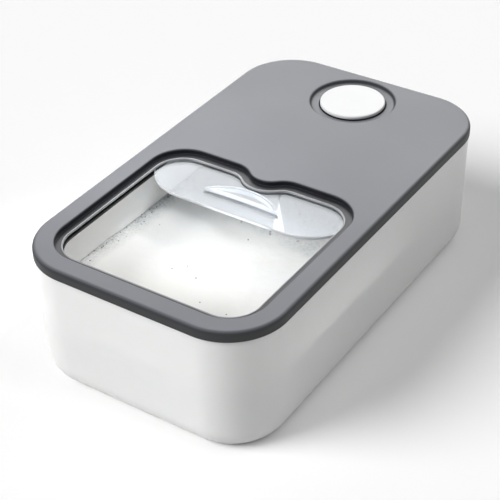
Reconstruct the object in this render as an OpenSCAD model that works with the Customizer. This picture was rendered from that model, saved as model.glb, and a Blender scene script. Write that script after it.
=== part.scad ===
/* [Overall] */
// Width of the lid, the widest part
body_w = 200; // [190:1:230]
// Length of the lid
body_l = 343; // [335:1:380]
// Height from the table to the top of the lid
total_h = 104; // [92:1:140]
// Plan radius of the lid's corners
corner_r = 44.5; // [38:0.5:56]

/* [Bin] */
// Setback of the wall from the lid's edge, just under the lid
wall_in_top = 0.8; // [0.5:0.1:1.6]
// Setback of the wall from the lid's edge, where it starts to tuck in
wall_in_low = 1.7; // [1.5:0.1:3]
// Wall thickness where the tuck starts
wall_t = 2.6; // [2:0.1:3.6]
// Radius of the curve that tucks the wall in under the body
tuck_r = 20; // [17:0.5:26]
// Height at which the tuck starts
tuck_h = 15.7; // [12:0.1:16.5]
// Thickness of the bottom
floor_t = 2.4; // [2:0.1:4]
// Thickness of the thin rim that stands inside the lid's skirt
rim_t = 1.5; // [1.2:0.1:2]
// Gap between the wall's shoulder and the skirt's lower edge
shoulder_gap = 0.4; // [0.3:0.1:0.8]
// Gap between the rim and the inside of the skirt
rim_gap = 0.3; // [0.2:0.05:0.5]

/* [Powder] */
// Level of the powder above the table
powder_z = 53; // [25:1:70]
// Gap left between the powder and the walls
powder_gap = 0.3; // [0.2:0.1:1]

/* [Lid] */
// Thickness of the lid's top plate
plate_t = 2.5; // [2.3:0.1:3]
// Height of the skirt, from the lid's top to its lower edge
skirt_h = 8; // [7:0.1:10]
// Thickness of the skirt
skirt_t = 2; // [1.6:0.1:2.4]
// Radius of the lid's outer top edge
top_round = 3; // [1:0.1:3.5]
// Height of the seal between the rim and the plate
seal_h = 1.6; // [1.2:0.1:2]
// Width of that seal
seal_w = 1.8; // [1.6:0.1:2]
// Thickness of the rib that keeps the seal in place
rib_t = 1.4; // [1:0.1:1.8]
// Depth of that rib under the plate
rib_h = 2.9; // [2:0.1:3.5]
// Gap between the seal and its rib
rib_gap = 0.2; // [0.1:0.05:0.4]

/* [Window] */
// Distance from the lid's side to the window
win_side = 15.5; // [14:0.1:24]
// Distance from the lid's front end to the window
win_front = 16; // [15.5:0.1:24]
// Length of the window
win_l = 160; // [145:1:165]
// Plan radius of the window's corners
win_r = 28; // [22:0.5:36]
// How far the rounded tab reaches into the window from its rear edge
tab_depth = 10.3; // [7:0.1:12]
// Half the tab's width along the rear edge
tab_half = 23; // [20:0.5:30]
// Radius of the tab's tip
tab_tip_r = 17.4; // [12:0.1:18]
// Depth from the lid's top to the ledge inside the window
ledge_drop = 4; // [3.8:0.1:4.4]
// Thickness of the ledge
ledge_t = 1.2; // [1:0.1:1.4]
// Width of the ledge and the bead on its edge together
ledge_w = 5.5; // [5:0.1:6.5]
// Extra width of the ledge at the window's rear edge
ledge_rear = 2; // [0:0.1:2.5]
// Width of the soft bead on the ledge's edge
bead_w = 1.2; // [0.8:0.1:1.6]
// Thickness of the wall round the window
win_wall = 2; // [1.6:0.1:2.4]

/* [Sliding door] */
// Thickness of the clear door
door_t = 2.5; // [2:0.1:2.6]
// Gap above and below the door in its track
door_gap = 0.3; // [0.2:0.05:0.5]
// Gap beside the door in its track
side_gap = 0.4; // [0.3:0.05:0.8]
// How far the door's sides run past the bead's inner edge
door_lap = 6; // [5.5:0.1:7]
// How far the closed door runs past the bead at the front
close_lap = 4; // [3.5:0.1:5]
// How far the closed door reaches behind the window's rear edge
back_lap = 5; // [3:0.5:7]
// Length of the open door that shows in front of the window's rear edge
door_show = 51.5; // [48:0.5:56]
// Plan radius of the door's front corners
door_r = 39; // [34:0.5:42]
// Plan radius of the door's rear corners
door_rear_r = 6; // [3:0.5:10]
// Gap between the door's rear notch and the button's collar
notch_gap = 1.2; // [0.8:0.1:2]
// Width of the raised grip
grip_w = 64; // [50:1:72]
// Depth of the grip from its straight front to the top of its arc
grip_d = 14; // [10:0.5:16]
// Height of the grip above the door
grip_h = 2.8; // [2:0.1:4]
// Distance from the door's front edge to the grip
grip_front = 15.5; // [12:0.5:18]
// Wall left round the pocket under the grip
grip_wall = 1.8; // [1.4:0.1:2.4]

/* [Track] */
// Thickness of the flange under the door
flange_t = 1.8; // [1.4:0.1:2.4]
// Thickness of the web beside the door
web_t = 1.8; // [1.4:0.1:2]
// How far the flange reaches under the door
flange_lap = 5.2; // [4.5:0.1:6.2]
// Plan radius of the flange's inner front corners
flange_r = 23; // [18:0.5:30]
// Length of the track behind the open door
track_tail = 3; // [2.5:0.1:6]
// Thickness of the runner ribs that hold the door down behind the window
runner_t = 2; // [1.5:0.1:3]
// Radius of the track's screw ears
ear_r = 3.2; // [2.8:0.1:3.4]
// Thickness of the ears
ear_t = 2; // [1.6:0.1:2.4]
// Screw ears along each side
ear_count = 4; // [3:1:5]
// Distance from the middle to each front ear
front_ear = 30; // [24:1:40]
// Thickness of each soft stop at the track's rear end
stop_t = 2.5; // [2:0.1:2.6]

/* [Button] */
// Distance from the lid's rear end to the button's middle
btn_rear = 41.5; // [40:0.5:44]
// Radius of the button's cap
cap_r = 26; // [24:0.5:27]
// Thickness of the cap
cap_t = 2.4; // [2:0.1:3]
// Radius of the rounding round the cap's top
cap_round = 1.2; // [0.6:0.1:1.6]
// Gap between the cap and the hole that it drops into
cap_gap = 0.6; // [0.4:0.1:1]
// Radius of the finger dish at the lid's top
dish_r = 35.5; // [33:0.5:37]
// Radius of the dish's flat floor
dish_floor_r = 31.5; // [30.5:0.5:32]
// Depth of the dish
dish_depth = 3; // [2.6:0.1:3.2]
// Thickness of the dish's floor
dish_t = 1.7; // [1.4:0.1:1.9]
// Thickness of the collar under the dish
collar_t = 1.8; // [1.4:0.1:2.2]
// Travel of the button
btn_travel = 2.5; // [1.5:0.1:2.8]
// Length of the collar below the dish's floor, past the button's travel
collar_room = 4.8; // [4.6:0.1:9]
// Height of the dark seal ring under the cap
btn_seal_h = 2.8; // [2.4:0.1:3.2]
// Radial width of the seal ring
btn_seal_w = 2.6; // [2:0.1:3.5]
// Setback of the seal ring from the cap's edge
btn_seal_in = 0.3; // [0.2:0.1:0.6]
// Radius of the stem
stem_r = 4; // [3:0.1:5]
// Radial clearance of the stem in its bore
stem_fit = 0.08; // [0.05:0.01:0.1]
// Thickness of the base plate that closes the collar
base_t = 2; // [1.6:0.1:3]
// Length of the stem below the clip
stem_tail = 1; // [0.6:0.1:2]
// Radius of the vent holes
vent_r = 1.5; // [1:0.1:1.8]
// Distance from the stem to the vent holes
vent_gap = 1.2; // [1:0.1:2]
// Number of vent holes
vent_count = 6; // [4:1:8]
// Thickness of the valve disc under the base plate
valve_t = 1.5; // [1.2:0.1:2.5]
// How far the valve disc reaches past the vent holes
valve_lap = 2; // [1.5:0.1:3]
// Thickness of the clip that holds the valve disc
clip_t = 1.2; // [1:0.1:2]
// How far the clip reaches past the stem
clip_w = 2; // [1.5:0.1:2.5]
// Wire diameter of the return spring
wire_d = 1; // [0.7:0.1:1.2]
// Turns of the return spring
spring_turns = 4; // [3:0.5:5]
// Gap between the stem and the spring's wire
spring_gap = 0.8; // [0.5:0.1:1.2]

/* [Screws] */
// Radius of the screws' shanks
screw_r = 1.1; // [0.9:0.05:1.3]
// Radius of the screws' heads
head_r = 2.3; // [2:0.1:2.5]
// Thickness of the screws' heads
head_t = 1.4; // [1:0.1:1.6]
// Radius of the bosses that the screws bite in
boss_r = 2.8; // [2.6:0.1:3]
// Radial clearance round a shank
screw_fit = 0.05; // [0.03:0.01:0.1]
// Height of the bosses inside the collar
boss_h = 3.4; // [3:0.1:3.6]
// Gap left between a shank's tip and the end of its hole
tip_gap = 0.3; // [0.2:0.1:0.5]

/* [Hidden] */
$fn = 96;
past = 1;
ear_bite = 0.2;
boss_bite = 0.6;
hole_roof = 1;
spring_slack = 0.05;

plate_z = total_h - plate_t;
skirt_z = total_h - skirt_h;
shoulder_z = skirt_z - shoulder_gap;
rim_z = plate_z - seal_h;
rim_in = skirt_t + rim_gap;
seal_in = rim_in + rim_t / 2 - seal_w / 2;
rib_in = seal_in + seal_w + rib_gap;

win_w = body_w - 2 * win_side;
win_y0 = -body_l / 2 + win_front;
win_y1 = win_y0 + win_l;
tab_sum = (tab_half * tab_half / tab_depth + tab_depth) / 2;
ledge_z = total_h - ledge_drop;
ledge_under = ledge_z - ledge_t;

door_z = ledge_under - door_gap - door_t;
door_w = win_w - 2 * ledge_w + 2 * door_lap;
door_y0 = win_y1 - door_show;
closed_y0 = win_y0 + ledge_w - close_lap;
door_travel = door_y0 - closed_y0;
door_y1 = win_y1 + back_lap + door_travel;
flange_top = door_z - door_gap;
track_z = flange_top - flange_t;
track_y1 = door_y1 + track_tail;
track_w = door_w + 2 * (side_gap + web_t);
ear_x = track_w / 2 + ear_r - ear_bite;
ear_y0 = closed_y0 + door_r + 2 * ear_r;
ear_y1 = min(track_y1 - 2 * ear_r, body_l / 2 - corner_r);
ear_step = (ear_y1 - ear_y0) / (ear_count - 1);
front_ear_y = closed_y0 - side_gap - web_t - ear_r + ear_bite;
ear_spots = concat([for (s = [-1, 1], i = [0 : ear_count - 1]) [s * ear_x, ear_y0 + i * ear_step]],
    [for (s = [-1, 1]) [s * front_ear, front_ear_y]]);

btn_y = body_l / 2 - btn_rear;
hole_r = cap_r + cap_gap;
collar_r = hole_r + collar_t;
dish_z = total_h - dish_depth;
collar_top = dish_z - dish_t;
collar_z = collar_top - btn_travel - collar_room;
cap_under = total_h - cap_t;
base_z = collar_z - base_t;
vent_ring = stem_r + vent_gap + vent_r;
valve_r = vent_ring + vent_r + valve_lap;
valve_z = base_z - valve_t;
clip_z = valve_z - clip_t;
boss_ring = hole_r - boss_r + boss_bite;

// Sweeps a section round a rounded rectangle. The section's x starts at the corner's axis.
module swept(w, l, r) {
    sx = w / 2 - r;
    sy = l / 2 - r;
    for (q = [[sx, sy, 0], [-sx, sy, 90], [-sx, -sy, 180], [sx, -sy, 270]])
        translate([q[0], q[1], 0]) rotate([0, 0, q[2]]) rotate_extrude(angle = 90) children();
    for (a = [0, 180]) {
        rotate([0, 0, a]) translate([sx, 0, 0]) rotate([90, 0, 0])
            linear_extrude(2 * sy, center = true) children();
        rotate([0, 0, a + 90]) translate([sy, 0, 0]) rotate([90, 0, 0])
            linear_extrude(2 * sx, center = true) children();
    }
}

// The level slab inside a sweep, between the four corners' axes
module core(z, t) {
    translate([corner_r - body_w / 2, corner_r - body_l / 2, z])
        cube([body_w - 2 * corner_r, body_l - 2 * corner_r, t]);
}

// A flat rounded rectangle
module plan(w, l, r) {
    square([w, l - 2 * r], center = true);
    square([w - 2 * r, l], center = true);
    for (x = [r - w / 2, w / 2 - r], y = [r - l / 2, l / 2 - r]) translate([x, y]) circle(r);
}

// Half of the bin's outside or, set back, of its inside
module bin_area(inset, low, high) {
    edge = corner_r - wall_in_low - inset;
    arc_x = corner_r - wall_in_low - tuck_r;
    polygon([[0, tuck_h], [edge, tuck_h], [edge + wall_in_low - wall_in_top, high], [0, high]]);
    translate([0, low]) square([arc_x, tuck_h - low]);
    intersection() {
        translate([arc_x, tuck_h]) circle(tuck_r - inset);
        translate([arc_x, low]) square([tuck_r, tuck_h - low]);
    }
}

module bin() {
    color("whitesmoke") {
        swept(body_w, body_l, corner_r) difference() {
            union() {
                bin_area(0, 0, shoulder_z);
                translate([0, shoulder_z - past]) square([corner_r - rim_in, rim_z - shoulder_z + past]);
            }
            bin_area(wall_t, floor_t, shoulder_z);
            translate([0, shoulder_z - past])
                square([corner_r - rim_in - rim_t, rim_z - shoulder_z + 2 * past]);
        }
        core(0, floor_t);
    }
}

module powder_fill() {
    slope = (wall_in_low - wall_in_top) / (shoulder_z - tuck_h);
    gap = wall_t + powder_gap;
    edge = corner_r - wall_in_low - gap;
    color("ivory") {
        swept(body_w, body_l, corner_r) {
            arc_x = corner_r - wall_in_low - tuck_r;
            polygon([[0, tuck_h], [edge, tuck_h], [edge + slope * (powder_z - tuck_h), powder_z],
                [0, powder_z]]);
            translate([0, floor_t]) square([arc_x, tuck_h - floor_t]);
            intersection() {
                translate([arc_x, tuck_h]) circle(tuck_r - gap);
                translate([arc_x, floor_t]) square([tuck_r, tuck_h - floor_t]);
            }
        }
        core(floor_t, powder_z - floor_t);
    }
}

// The window's rounded rectangle, grown by g all round and by rear at the back
module window_rect(g, rear = 0) {
    y1 = win_y1 + g + rear;
    translate([0, (win_y0 - g + y1) / 2]) plan(win_w + 2 * g, y1 - win_y0 + g, win_r + g);
}

// The same outline with the tab in its rear edge
module window_plan(g, rear = 0) {
    y1 = win_y1 + g + rear;
    base_y = win_y1 + rear;
    tip = [0, base_y - tab_depth + tab_tip_r];
    side = [tab_half, base_y - tab_sum + tab_tip_r];
    meet = tip + (side - tip) * (tab_tip_r - g) / tab_sum;
    difference() {
        window_rect(g, rear);
        difference() {
            union() {
                translate(tip) circle(tab_tip_r - g);
                polygon([[-tab_half, y1 + past], [tab_half, y1 + past], [tab_half, y1], meet,
                    [-meet[0], meet[1]], [-tab_half, y1]]);
            }
            for (s = [-1, 1]) translate([s * side[0], side[1]]) circle(tab_sum - tab_tip_r + g);
        }
    }
}

// Half of the finger dish, as it is cut from the lid: a flat floor, and a wall in two arcs
module dish_area() {
    run = dish_r - dish_floor_r;
    arc_r = (run * run / dish_depth + dish_depth) / 4;
    difference() {
        union() {
            translate([0, dish_z]) square([dish_floor_r, dish_depth + past]);
            intersection() {
                translate([dish_floor_r, dish_z + arc_r]) circle(arc_r);
                translate([dish_floor_r, dish_z]) square([run, arc_r]);
            }
            translate([0, total_h - dish_depth / 2]) square([dish_r, dish_depth / 2 + past]);
        }
        translate([dish_r, total_h - arc_r]) circle(arc_r);
    }
}

module lid_cover() {
    color("gray") {
        difference() {
            union() {
                swept(body_w, body_l, corner_r) difference() {
                    union() {
                        translate([0, plate_z]) square([corner_r, plate_t]);
                        translate([corner_r - skirt_t, skirt_z]) square([skirt_t, skirt_h]);
                        translate([corner_r - rib_in - rib_t, plate_z - rib_h])
                            square([rib_t, rib_h + past]);
                    }
                    difference() {
                        translate([corner_r - top_round, total_h - top_round]) square(top_round + past);
                        translate([corner_r - top_round, total_h - top_round]) circle(top_round);
                    }
                }
                core(plate_z, plate_t);
                translate([0, 0, ledge_under]) linear_extrude(plate_z - ledge_under + past)
                    window_rect(win_wall);
                translate([0, btn_y, collar_top]) cylinder(r = dish_r + 1, h = plate_z - collar_top + past);
                translate([0, btn_y, collar_z]) cylinder(r = collar_r, h = collar_top - collar_z + past);
                for (p = ear_spots) translate([p[0], p[1], ledge_under])
                    cylinder(r = boss_r, h = plate_z - ledge_under + past);
                for (s = [-1, 1])
                    translate([s * (door_w / 2 - runner_t) - runner_t / 2, win_y1, ledge_under])
                        cube([runner_t, track_y1 - win_y1, plate_z - ledge_under + past]);
            }
            translate([0, 0, ledge_z]) linear_extrude(ledge_drop + past) window_plan(0);
            translate([0, 0, ledge_under - past]) linear_extrude(ledge_t + 2 * past)
                window_plan(bead_w - ledge_w, -ledge_rear);
            translate([0, btn_y, 0]) rotate_extrude() dish_area();
            translate([0, btn_y, collar_z - past]) cylinder(r = hole_r, h = total_h);
            for (p = ear_spots) translate([p[0], p[1], ledge_under - past])
                cylinder(r = screw_r + screw_fit, h = plate_z - ledge_under + past);
        }
        for (i = [0 : 2]) translate([0, btn_y, collar_z]) rotate([0, 0, 90 + 120 * i])
            translate([boss_ring, 0, 0]) difference() {
                cylinder(r = boss_r, h = boss_h);
                translate([0, 0, -past]) cylinder(r = screw_r + screw_fit, h = boss_h - hole_roof + past);
            }
    }
}

module lid_seal() {
    color("lightgray") swept(body_w, body_l, corner_r)
        translate([corner_r - seal_in - seal_w, rim_z]) square([seal_w, seal_h]);
}

module window_seal() {
    color("silver") translate([0, 0, ledge_under]) linear_extrude(ledge_t) difference() {
        window_plan(bead_w - ledge_w, -ledge_rear);
        window_plan(-ledge_w, -ledge_rear);
    }
}

// The door's outline, grown by g, with its front edge at y0 and its rear edge at y1
module door_plan(g, y0, y1) {
    w = door_w + 2 * g;
    r = door_r + g;
    for (x = [r - w / 2, w / 2 - r]) translate([x, y0 - g + r]) circle(r);
    translate([r - w / 2, y0 - g]) square([w - 2 * r, r + past]);
    translate([-w / 2, y0 - g + r]) square([w, y1 - y0 + g - r - door_rear_r]);
    for (x = [door_rear_r - w / 2, w / 2 - door_rear_r]) translate([x, y1 - door_rear_r])
        circle(door_rear_r);
    translate([door_rear_r - w / 2, y1 - 2 * door_rear_r]) square([w - 2 * door_rear_r, 2 * door_rear_r]);
}

// The grip's lens, set back by inset: a straight front and one long arc behind
module grip_plan(inset) {
    arc_r = (grip_w * grip_w / 4 + grip_d * grip_d) / (2 * grip_d);
    intersection() {
        translate([0, grip_d - arc_r]) circle(arc_r - inset);
        translate([-grip_w / 2, inset]) square([grip_w, grip_d]);
    }
}

module sliding_door() {
    color("lightblue", 0.5) difference() {
        union() {
            translate([0, 0, door_z]) linear_extrude(door_t) difference() {
                door_plan(0, door_y0, door_y1);
                translate([0, btn_y]) circle(collar_r + notch_gap);
            }
            translate([0, door_y0 + grip_front, door_z + door_t / 2])
                linear_extrude(door_t / 2 + grip_h) grip_plan(0);
        }
        translate([0, door_y0 + grip_front, door_z - past])
            linear_extrude(past + door_t + grip_h - grip_wall) grip_plan(grip_wall);
    }
}

// The track's outline, grown by g from the closed door, with front corners of radius r, up to y1
module track_plan(g, r, y1) {
    w = door_w + 2 * g;
    for (x = [r - w / 2, w / 2 - r]) translate([x, closed_y0 - g + r]) circle(r);
    translate([r - w / 2, closed_y0 - g]) square([w - 2 * r, r + past]);
    translate([-w / 2, closed_y0 - g + r]) square([w, y1 - closed_y0 + g - r]);
}

module door_track() {
    web_g = side_gap + web_t;
    color("dimgray") difference() {
        union() {
            translate([0, 0, track_z]) linear_extrude(ledge_under - track_z)
                track_plan(web_g, door_r + web_g, track_y1);
            for (p = ear_spots) translate([p[0], p[1], ledge_under - ear_t]) cylinder(r = ear_r, h = ear_t);
        }
        translate([0, 0, flange_top]) linear_extrude(total_h)
            track_plan(side_gap, door_r + side_gap, track_y1 + past);
        translate([0, 0, track_z - past]) linear_extrude(total_h)
            track_plan(-flange_lap, flange_r, track_y1 + past);
        for (p = ear_spots) translate([p[0], p[1], 0]) cylinder(r = screw_r + screw_fit, h = total_h);
    }
}

// A screw with its head below, whose shank starts at the head's upper face
module screw(reach) {
    translate([0, 0, -head_t]) cylinder(r = head_r, h = head_t);
    cylinder(r = screw_r, h = reach);
}

module track_screws() {
    color("slategray") for (p = ear_spots) translate([p[0], p[1], ledge_under - ear_t])
        screw(ear_t + plate_z - ledge_under - tip_gap);
}

module door_stops() {
    color("dimgray") for (s = [0, 1]) mirror([s, 0, 0])
        translate([door_w / 2 + side_gap - flange_lap, track_y1 - stop_t, flange_top])
            cube([flange_lap, stop_t, door_t + door_gap]);
}

module button_cap() {
    color("white") translate([0, btn_y, 0]) rotate_extrude() difference() {
        translate([0, cap_under]) square([cap_r, cap_t]);
        difference() {
            translate([cap_r - cap_round, total_h - cap_round]) square(cap_round + past);
            translate([cap_r - cap_round, total_h - cap_round]) circle(cap_round);
        }
    }
}

module button_seal() {
    out_r = cap_r - btn_seal_in;
    color("black") translate([0, btn_y, cap_under - btn_seal_h]) difference() {
        cylinder(r = out_r, h = btn_seal_h);
        translate([0, 0, -past]) cylinder(r = out_r - btn_seal_w, h = btn_seal_h + 2 * past);
    }
}

module button_stem() {
    color("gainsboro") translate([0, btn_y, clip_z - stem_tail])
        cylinder(r = stem_r, h = cap_under - clip_z + stem_tail);
}

// Points round the spring's wire at one place along its coil
function coil_ring(t, mean_r, low, rise) = [for (k = [0 : 7])
    let (a = 360 * spring_turns * t, b = 45 * k, r = mean_r + wire_d / 2 * cos(b))
    [r * cos(a), r * sin(a), low + rise * t + wire_d / 2 * sin(b)]];

module button_spring() {
    steps = round(20 * spring_turns);
    mean_r = stem_r + spring_gap + wire_d / 2;
    low = collar_z + wire_d / 2 + spring_slack;
    rise = cap_under - collar_z - wire_d - 2 * spring_slack;
    rings = [for (i = [0 : steps]) coil_ring(i / steps, mean_r, low, rise)];
    points = [for (g = rings) for (p = g) p];
    sides = [for (i = [0 : steps - 1]) for (k = [0 : 7])
        let (n = (k + 1) % 8) [8 * i + k, 8 * i + 8 + k, 8 * i + 8 + n, 8 * i + n]];
    ends = [[for (k = [0 : 7]) k], [for (k = [7 : -1 : 0]) 8 * steps + k]];
    color("silver") translate([0, btn_y, 0]) polyhedron(points, concat(sides, ends));
}

module button_base() {
    color("gray") translate([0, btn_y, base_z]) difference() {
        cylinder(r = collar_r, h = base_t);
        translate([0, 0, -past]) cylinder(r = stem_r + stem_fit, h = base_t + 2 * past);
        for (i = [0 : vent_count - 1]) rotate([0, 0, (i + 0.5) * 360 / vent_count])
            translate([vent_ring, 0, -past]) cylinder(r = vent_r, h = base_t + 2 * past);
        for (i = [0 : 2]) rotate([0, 0, 90 + 120 * i]) translate([boss_ring, 0, -past])
            cylinder(r = screw_r + screw_fit, h = base_t + 2 * past);
    }
}

module base_screws() {
    color("slategray") for (i = [0 : 2]) translate([0, btn_y, base_z]) rotate([0, 0, 90 + 120 * i])
        translate([boss_ring, 0, 0]) screw(base_t + boss_h - hole_roof - tip_gap);
}

module valve_disc() {
    color("lightgray") translate([0, btn_y, valve_z]) difference() {
        cylinder(r = valve_r, h = valve_t);
        translate([0, 0, -past]) cylinder(r = stem_r, h = valve_t + 2 * past);
    }
}

module stem_clip() {
    color("slategray") translate([0, btn_y, clip_z]) difference() {
        cylinder(r = stem_r + clip_w, h = clip_t);
        translate([0, 0, -past]) cylinder(r = stem_r, h = clip_t + 2 * past);
    }
}

bin();
powder_fill();
lid_cover();
lid_seal();
window_seal();
sliding_door();
door_track();
track_screws();
door_stops();
button_cap();
button_seal();
button_stem();
button_spring();
button_base();
base_screws();
valve_disc();
stem_clip();
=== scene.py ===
import math

import bmesh
import bpy
import numpy as np
from mathutils import Matrix, Vector, noise
from mathutils.geometry import delaunay_2d_cdt


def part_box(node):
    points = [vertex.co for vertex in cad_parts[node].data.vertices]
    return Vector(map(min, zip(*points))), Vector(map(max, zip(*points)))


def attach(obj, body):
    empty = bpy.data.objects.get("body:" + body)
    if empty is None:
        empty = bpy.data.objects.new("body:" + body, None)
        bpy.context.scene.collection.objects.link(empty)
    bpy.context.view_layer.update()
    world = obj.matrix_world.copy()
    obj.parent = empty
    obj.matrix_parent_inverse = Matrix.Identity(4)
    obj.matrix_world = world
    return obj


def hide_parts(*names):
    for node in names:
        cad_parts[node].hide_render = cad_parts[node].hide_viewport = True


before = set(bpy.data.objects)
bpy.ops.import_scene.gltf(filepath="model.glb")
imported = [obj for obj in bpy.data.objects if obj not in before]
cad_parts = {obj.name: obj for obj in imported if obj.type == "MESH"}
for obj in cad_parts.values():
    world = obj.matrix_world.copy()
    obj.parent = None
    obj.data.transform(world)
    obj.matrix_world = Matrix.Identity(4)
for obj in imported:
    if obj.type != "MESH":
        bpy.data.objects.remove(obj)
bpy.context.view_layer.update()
print("frame loaded with", len(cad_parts), "nodes")


# Outlines in the XY plane, all anticlockwise


def arc(centre, radius, start, end, steps):
    angles = np.radians(np.linspace(start, end, steps + 1))
    return [(centre[0] + radius * math.cos(a), centre[1] + radius * math.sin(a)) for a in angles]


def rectOutline(width, length, radius, steps=24):
    x, y = width / 2 - radius, length / 2 - radius
    corners = [(x, y, 0), (-x, y, 90), (-x, -y, 180), (x, -y, 270)]
    return [p for cx, cy, a in corners for p in arc((cx, cy), radius, a, a + 90, steps)]


def circleOutline(centre, radius, steps=96):
    return arc(centre, radius, 0, 360, steps)[:-1]


# Mesh helpers
fillScale = 1000  # the fill needs large numbers, so its points are enlarged


def ring(bm, outline, z):
    return [bm.verts.new((x, y, z)) for x, y in outline]


def bridge(bm, a, b):
    for i in range(len(a)):
        j = (i + 1) % len(a)
        bm.faces.new((a[i], a[j], b[j], b[i]))


def loft(bm, outlines):  # outlines is a list of (outline, height); returns the first and the last ring
    rings = [ring(bm, outline, z) for outline, z in outlines]
    for a, b in zip(rings, rings[1:]):
        bridge(bm, a, b)
    return rings[0], rings[-1]


def isInside(point, loop):  # counts how often a line from the point to the right crosses the loop
    x, y = point
    crossings = 0
    for a, b in zip(loop, loop[1:] + loop[:1]):
        if (a.y > y) != (b.y > y) and x < a.x + (b.x - a.x) * (y - a.y) / (b.y - a.y):
            crossings += 1
    return crossings % 2 == 1


def fillFlat(bm, *loops):  # a level face between an outer loop and the loops inside it
    verts, flatLoops, edges = [], [], []
    for loop in loops:
        first = len(verts)
        edges += [(first + i, first + (i + 1) % len(loop)) for i in range(len(loop))]
        flatLoops.append([Vector((vert.co.x, vert.co.y)) * fillScale for vert in loop])
        verts += loop
    flat = [point for loop in flatLoops for point in loop]
    made = delaunay_2d_cdt(flat, edges, [], 1, 1e-3)
    places, faces, sources = made[0], made[2], made[3]
    for face in faces:
        middle = (places[face[0]] + places[face[1]] + places[face[2]]) / 3
        if not any(isInside(middle, loop) for loop in flatLoops[1:]):
            bm.faces.new([verts[sources[i][0]] for i in face])


def rounded(inset, z, radius, topDown=True, steps=5):  # a convex quarter round, from a level face to a wall
    out = []
    for t in np.linspace(0, math.pi / 2, steps + 1):
        drop = radius * (1 - math.cos(t))
        out.append((inset + radius * (1 - math.sin(t)), z - drop if topDown else z + drop))
    return out


def finishMesh(bm, name, material, sharp=35):
    bmesh.ops.remove_doubles(bm, verts=bm.verts, dist=1e-6)
    bmesh.ops.recalc_face_normals(bm, faces=bm.faces)
    mesh = bpy.data.meshes.new(name)
    bm.to_mesh(mesh)
    bm.free()
    return finishObject(mesh, name, material, sharp)


def finishObject(mesh, name, material, sharp=35):
    mesh.name = name
    mesh.materials.clear()
    mesh.materials.append(material)
    mesh.shade_smooth()
    mesh.set_sharp_from_angle(angle=math.radians(sharp))
    piece = bpy.data.objects.new(name, mesh)
    bpy.context.scene.collection.objects.link(piece)
    weighted = piece.modifiers.new("even shading", "WEIGHTED_NORMAL")
    weighted.keep_sharp = True
    return piece


def settle(piece, body, slot, *nodes):
    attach(piece, body)
    if nodes:
        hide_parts(*nodes)
    return piece


# Geometry Nodes helpers


def newTree(name, inputs):
    tree = bpy.data.node_groups.new(name, "GeometryNodeTree")
    tree.interface.new_socket("Geometry", in_out="INPUT", socket_type="NodeSocketGeometry")
    for label, kind in inputs:
        tree.interface.new_socket(label, in_out="INPUT", socket_type=kind)
    tree.interface.new_socket("Geometry", in_out="OUTPUT", socket_type="NodeSocketGeometry")
    return tree, tree.nodes.new("NodeGroupInput"), tree.nodes.new("NodeGroupOutput")


def addNode(tree, kind, links=None, **values):  # links maps an input's name to the socket that feeds it
    node = tree.nodes.new(kind)
    for key, value in values.items():
        setattr(node, key, value)
    for name, source in (links or {}).items():
        if hasattr(source, "is_linked"):
            tree.links.new(source, node.inputs[name])
        else:
            node.inputs[name].default_value = source
    return node


def endTree(tree, geometry, material, out):  # every tree ends in real geometry with its material
    real = addNode(tree, "GeometryNodeRealizeInstances", {"Geometry": geometry})
    painted = addNode(tree, "GeometryNodeSetMaterial", {"Geometry": real.outputs[0], "Material": material})
    tree.links.new(painted.outputs[0], out.inputs[0])


def runTree(base, tree, values):  # evaluates the tree on base once and returns the plain mesh
    modifier = base.modifiers.new(tree.name, "NODES")
    modifier.node_group = tree
    for item in tree.interface.items_tree:
        if item.in_out == "INPUT" and item.name in values:
            modifier[item.identifier] = values[item.name]
    bpy.context.view_layer.update()
    graph = bpy.context.evaluated_depsgraph_get()
    mesh = bpy.data.meshes.new_from_object(base.evaluated_get(graph), depsgraph=graph)
    base.modifiers.remove(modifier)
    return mesh


def helperObject(name, data):
    thing = bpy.data.objects.new(name, data)
    bpy.context.scene.collection.objects.link(thing)
    return thing


def dropObject(*things):
    for thing in things:
        bpy.data.objects.remove(thing)


print("helpers ready")


# Materials


def newMaterial(name, values):
    material = bpy.data.materials.new(name)
    material.use_nodes = True
    shader = material.node_tree.nodes["Principled BSDF"]
    for socket, value in values.items():
        shader.inputs[socket].default_value = value
    return material, shader


def objectPoints(tree, scale=(1, 1, 1)):
    place = addNode(tree, "ShaderNodeTexCoord")
    return addNode(tree, "ShaderNodeMapping", {"Vector": place.outputs["Object"], "Scale": scale})


def noiseNode(tree, points, scale, detail=2.0, roughness=0.5):
    return addNode(tree, "ShaderNodeTexNoise", {"Vector": points.outputs[0], "Scale": scale,
                                                "Detail": detail, "Roughness": roughness})


def blendColours(tree, factor, low, high):
    mix = addNode(tree, "ShaderNodeMix", data_type="RGBA")
    tree.links.new(factor, mix.inputs[0])
    mix.inputs[6].default_value = (*low, 1)
    mix.inputs[7].default_value = (*high, 1)
    return mix.outputs[2]


def rangeNode(tree, value, low, high, newLow, newHigh):
    return addNode(tree, "ShaderNodeMapRange", {"Value": value, "From Min": low, "From Max": high,
                                                "To Min": newLow, "To Max": newHigh}).outputs[0]


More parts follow.
